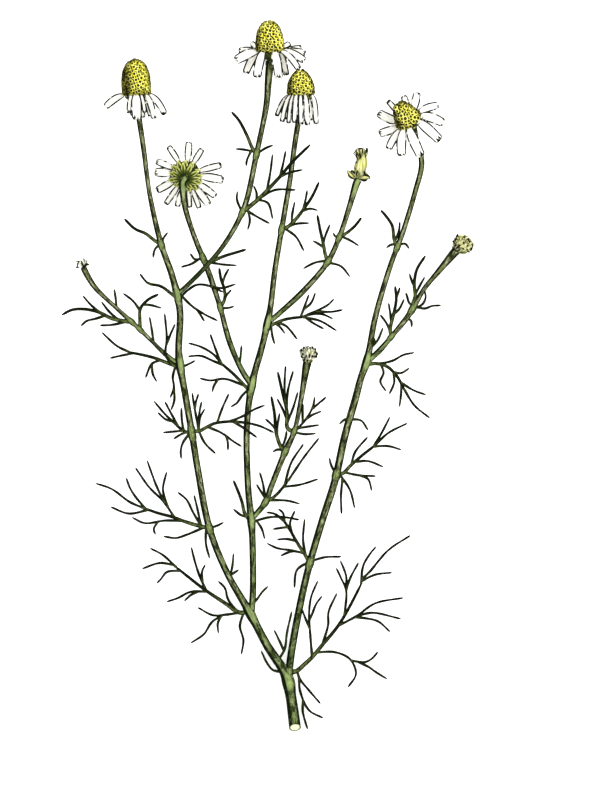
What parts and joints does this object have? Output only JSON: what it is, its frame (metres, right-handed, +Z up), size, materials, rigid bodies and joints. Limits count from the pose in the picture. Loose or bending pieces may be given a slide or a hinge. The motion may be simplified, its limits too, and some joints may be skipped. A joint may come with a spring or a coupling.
{
  "type": "chamomile sprig",
  "caption": "Cut flowering chamomile sprig lying flat: branched green stems, thread-like leaves, white daisy heads with yellow domed discs, and small buds.",
  "frame": {"origin": "on the surface it lies on, under the middle of the sprig's bounding box", "axes": "+Y along the sprig from the cut end to the flowers, +Z up out of the surface, +X to the right when looked down on with the flowers away from the viewer"},
  "size_m": [0.123, 0.2123, 0.015],
  "materials": {
    "stem": "fine-ribbed, dull green",
    "leaf": "smooth, dark green",
    "green_bud": "soft yellow-green bracts with darker lines",
    "cream_bud": "cream-yellow closed petals with dark green fringes",
    "involucre": "overlapping yellow-green bracts with pale margins",
    "disc": "rough dome of tiny yellow florets",
    "ray": "matt white petals with fine grey veins"
  },
  "bodies": {
    "root": {"bud_f": "green_bud", "bud_g": "cream_bud", "bud_h": "cream_bud", "bud_i": "green_bud", "flower_a_disc_florets": "disc", "flower_a_ray_florets": "ray", "flower_a_receptacle": "involucre", "flower_b_disc_florets": "disc", "flower_b_ray_florets": "ray", "flower_b_receptacle": "involucre", "flower_c_disc_florets": "disc", "flower_c_ray_florets": "ray", "flower_c_receptacle": "involucre", "flower_d_disc_florets": "disc", "flower_d_ray_florets": "ray", "flower_d_receptacle": "involucre", "flower_e_disc_florets": "disc", "flower_e_ray_florets": "ray", "flower_e_receptacle": "involucre", "leaf_a1": "leaf", "leaf_a2": "leaf", "leaf_a3": "leaf", "leaf_a4": "leaf", "leaf_a5": "leaf", "leaf_a6": "leaf", "leaf_a7": "leaf", "leaf_a8": "leaf", "leaf_b1": "leaf", "leaf_b2": "leaf", "leaf_c1": "leaf", "leaf_c2": "leaf", "leaf_c3": "leaf", "leaf_c4": "leaf", "leaf_d1": "leaf", "leaf_d2": "leaf", "leaf_d3": "leaf", "leaf_d4": "leaf", "leaf_e1": "leaf", "leaf_e2": "leaf", "leaf_f1": "leaf", "leaf_f2": "leaf", "leaf_g1": "leaf", "leaf_g2": "leaf", "leaf_h1": "leaf", "leaf_h2": "leaf", "leaf_h3": "leaf", "leaf_i1": "leaf", "leaf_i2": "leaf", "stem_a": "stem", "stem_b": "stem", "stem_c": "stem", "stem_d": "stem", "stem_e": "stem", "stem_f": "stem", "stem_g": "stem", "stem_h": "stem", "stem_i": "stem"}
  },
  "joints": []
}
